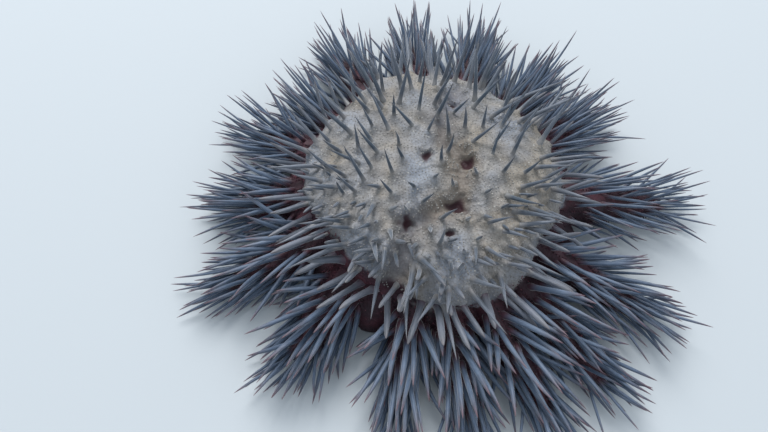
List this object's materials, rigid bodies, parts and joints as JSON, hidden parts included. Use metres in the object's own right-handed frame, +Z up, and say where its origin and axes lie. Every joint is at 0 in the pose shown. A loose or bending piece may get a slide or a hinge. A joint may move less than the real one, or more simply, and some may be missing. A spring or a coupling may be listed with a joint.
{
  "type": "crown of thorns starfish",
  "caption": "Still, life-size crown of thorns starfish: swollen spiny disc with short spread arms bristling with long sharp spines, resting flat on its sole.",
  "frame": {"origin": "middle of the base of the whole animal's bounding box, on the level of the ground it rests on", "axes": "+Z up, out of the crown of the disc; -Y towards the viewer's side"},
  "size_m": [0.3504, 0.3386, 0.0812],
  "materials": {
    "disc_skin": "matte, granular, speckled grey-tan skin with slate-grey spines",
    "arm_skin": "dark maroon skin under slate-grey spines with reddish-brown tips"
  },
  "bodies": {
    "root": {"disc": "disc_skin", "arm_01": "arm_skin", "arm_02": "arm_skin", "arm_03": "arm_skin", "arm_04": "arm_skin", "arm_05": "arm_skin", "arm_06": "arm_skin", "arm_07": "arm_skin", "arm_08": "arm_skin", "arm_09": "arm_skin", "arm_10": "arm_skin", "arm_11": "arm_skin", "arm_12": "arm_skin", "arm_13": "arm_skin", "arm_14": "arm_skin", "arm_15": "arm_skin", "arm_16": "arm_skin"}
  },
  "joints": []
}
